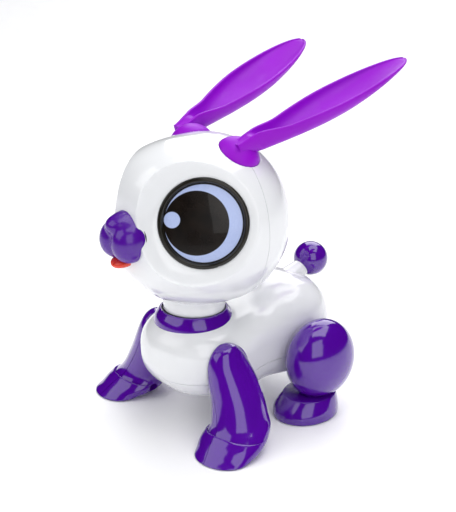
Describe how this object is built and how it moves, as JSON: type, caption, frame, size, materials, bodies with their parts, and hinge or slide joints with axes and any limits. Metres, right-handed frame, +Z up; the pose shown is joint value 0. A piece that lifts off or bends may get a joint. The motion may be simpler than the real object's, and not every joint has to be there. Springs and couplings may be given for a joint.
{
  "type": "walking robot rabbit toy",
  "caption": "Battery robot rabbit toy: round turning head with big eyes, swivelling leaf ears, ball tail, and geared front and rear legs that swing to shuffle forward.",
  "frame": {"origin": "on the floor under the middle of the bounding box", "axes": "+Z up, -Y the way the face looks, +X the rabbit's own left"},
  "size_m": [0.1142, 0.1457, 0.17],
  "materials": {
    "white_shell": "smooth moulded, glossy",
    "violet_gloss": "smooth moulded, glossy",
    "ear_violet": "soft moulded, satin",
    "night_blue": "smooth moulded, glossy",
    "black_gloss": "smooth moulded, glossy",
    "eye_print": "printed and clear-coated",
    "tongue_red": "smooth moulded, glossy",
    "steel": "turned or drawn, plain",
    "nylon": "moulded, satin",
    "grey_plastic": "moulded, satin",
    "dark_plastic": "moulded, satin",
    "circuit_board": "solder resist, satin",
    "brass": "plain",
    "rubber_violet": "moulded rubber, matte",
    "cell_sleeve": "printed sleeve, satin",
    "lamp_clear": "clear lamp body"
  },
  "bodies": {
    "body": {"back_shell": "white_shell", "belly_shell": "white_shell", "collar_ring": "violet_gloss", "neck_socket": "grey_plastic", "tail_stem": "white_shell", "tail_ball": "violet_gloss", "gear_frame_left": "grey_plastic", "gear_frame_right": "grey_plastic", "frame_spacers": "steel", "motor": "steel", "battery_tray": "grey_plastic", "battery_cells": "cell_sleeve", "battery_contacts": "brass", "switch_housing": "dark_plastic", "speaker": "dark_plastic", "axle_bushes": "nylon", "body_screws": "steel"},
    "head": {"face_shell": "white_shell", "rear_head_shell": "white_shell", "head_base_plate": "white_shell", "neck_bowl": "white_shell", "neck_clip": "grey_plastic", "eye_bezel_left": "black_gloss", "eye_bezel_right": "black_gloss", "eye_lens_left": "eye_print", "eye_lens_right": "eye_print", "eye_reflector_left": "nylon", "eye_reflector_right": "nylon", "eye_leds": "lamp_clear", "muzzle_backplate": "night_blue", "muzzle": "violet_gloss", "tongue": "tongue_red", "main_board": "circuit_board", "sound_module": "dark_plastic", "microphone": "steel", "head_screws": "steel"},
    "left_ear": {"ear_left": "ear_violet", "ear_dome_left": "ear_violet"},
    "right_ear": {"ear_right": "ear_violet", "ear_dome_right": "ear_violet"},
    "front_legs": {"front_axle": "steel", "front_sector_gear": "nylon", "front_leg_outer_left": "violet_gloss", "front_leg_outer_right": "violet_gloss", "front_leg_inner_left": "violet_gloss", "front_leg_inner_right": "violet_gloss", "front_foot_pads": "rubber_violet", "front_leg_screws": "steel"},
    "rear_legs": {"rear_axle": "steel", "rear_sector_gear": "nylon", "thigh_left": "violet_gloss", "thigh_right": "violet_gloss", "rear_feet": "violet_gloss", "rear_foot_pads": "rubber_violet"},
    "drive_gear": {"drive_gear": "nylon"},
    "reduction_gear": {"reduction_gear": "nylon"},
    "motor_pinion": {"motor_pinion": "brass"},
    "power_switch": {"switch_slider": "dark_plastic"},
    "battery_door": {"battery_door": "white_shell", "battery_door_screw": "steel"}
  },
  "joints": [
    {"name": "head_turn", "type": "hinge", "parent": "body", "child": "head", "pos_m": [0, -0.02529, 0.06], "axis": [0, 0, 1], "range_deg": [-30, 30]},
    {"name": "left_ear_swivel", "type": "hinge", "parent": "head", "child": "left_ear", "pos_m": [0.01788, -0.01277, 0.13303], "axis": [0.4644, 0.1461, 0.8735], "range_deg": [-20, 20]},
    {"name": "right_ear_swivel", "type": "hinge", "parent": "head", "child": "right_ear", "pos_m": [-0.01788, -0.01277, 0.13303], "axis": [-0.4644, 0.1461, 0.8735], "range_deg": [-20, 20]},
    {"name": "front_legs_swing", "type": "hinge", "parent": "body", "child": "front_legs", "pos_m": [0, -0.02679, 0.038], "axis": [1, 0, 0], "range_deg": [-10, 10]},
    {"name": "rear_legs_swing", "type": "hinge", "parent": "body", "child": "rear_legs", "pos_m": [0, 0.02521, 0.0315], "axis": [1, 0, 0], "range_deg": [-10, 10]},
    {"name": "drive_gear_turn", "type": "hinge", "parent": "body", "child": "drive_gear", "pos_m": [0, 0.00002, 0.04121], "axis": [1, 0, 0], "range_deg": [-17, 17]},
    {"name": "reduction_gear_turn", "type": "hinge", "parent": "body", "child": "reduction_gear", "pos_m": [0, 0.01202, 0.04121], "axis": [1, 0, 0], "range_deg": [-68, 68]},
    {"name": "motor_turn", "type": "hinge", "parent": "body", "child": "motor_pinion", "pos_m": [0, 0.02329, 0.04532], "axis": [1, 0, 0], "range_deg": [-272, 272]},
    {"name": "switch_slide", "type": "slide", "parent": "body", "child": "power_switch", "axis": [1, 0, 0], "range_m": [0, 0.0036]},
    {"name": "battery_door_lift", "type": "slide", "parent": "body", "child": "battery_door", "axis": [0, 0, -1], "range_m": [0, 0.012]}
  ],
  "couplings": [
    {"joint": "rear_legs_swing", "follows": "front_legs_swing", "ratio": 1},
    {"joint": "drive_gear_turn", "follows": "front_legs_swing", "ratio": -1.7},
    {"joint": "reduction_gear_turn", "follows": "front_legs_swing", "ratio": 6.8},
    {"joint": "motor_turn", "follows": "front_legs_swing", "ratio": -27.2}
  ]
}
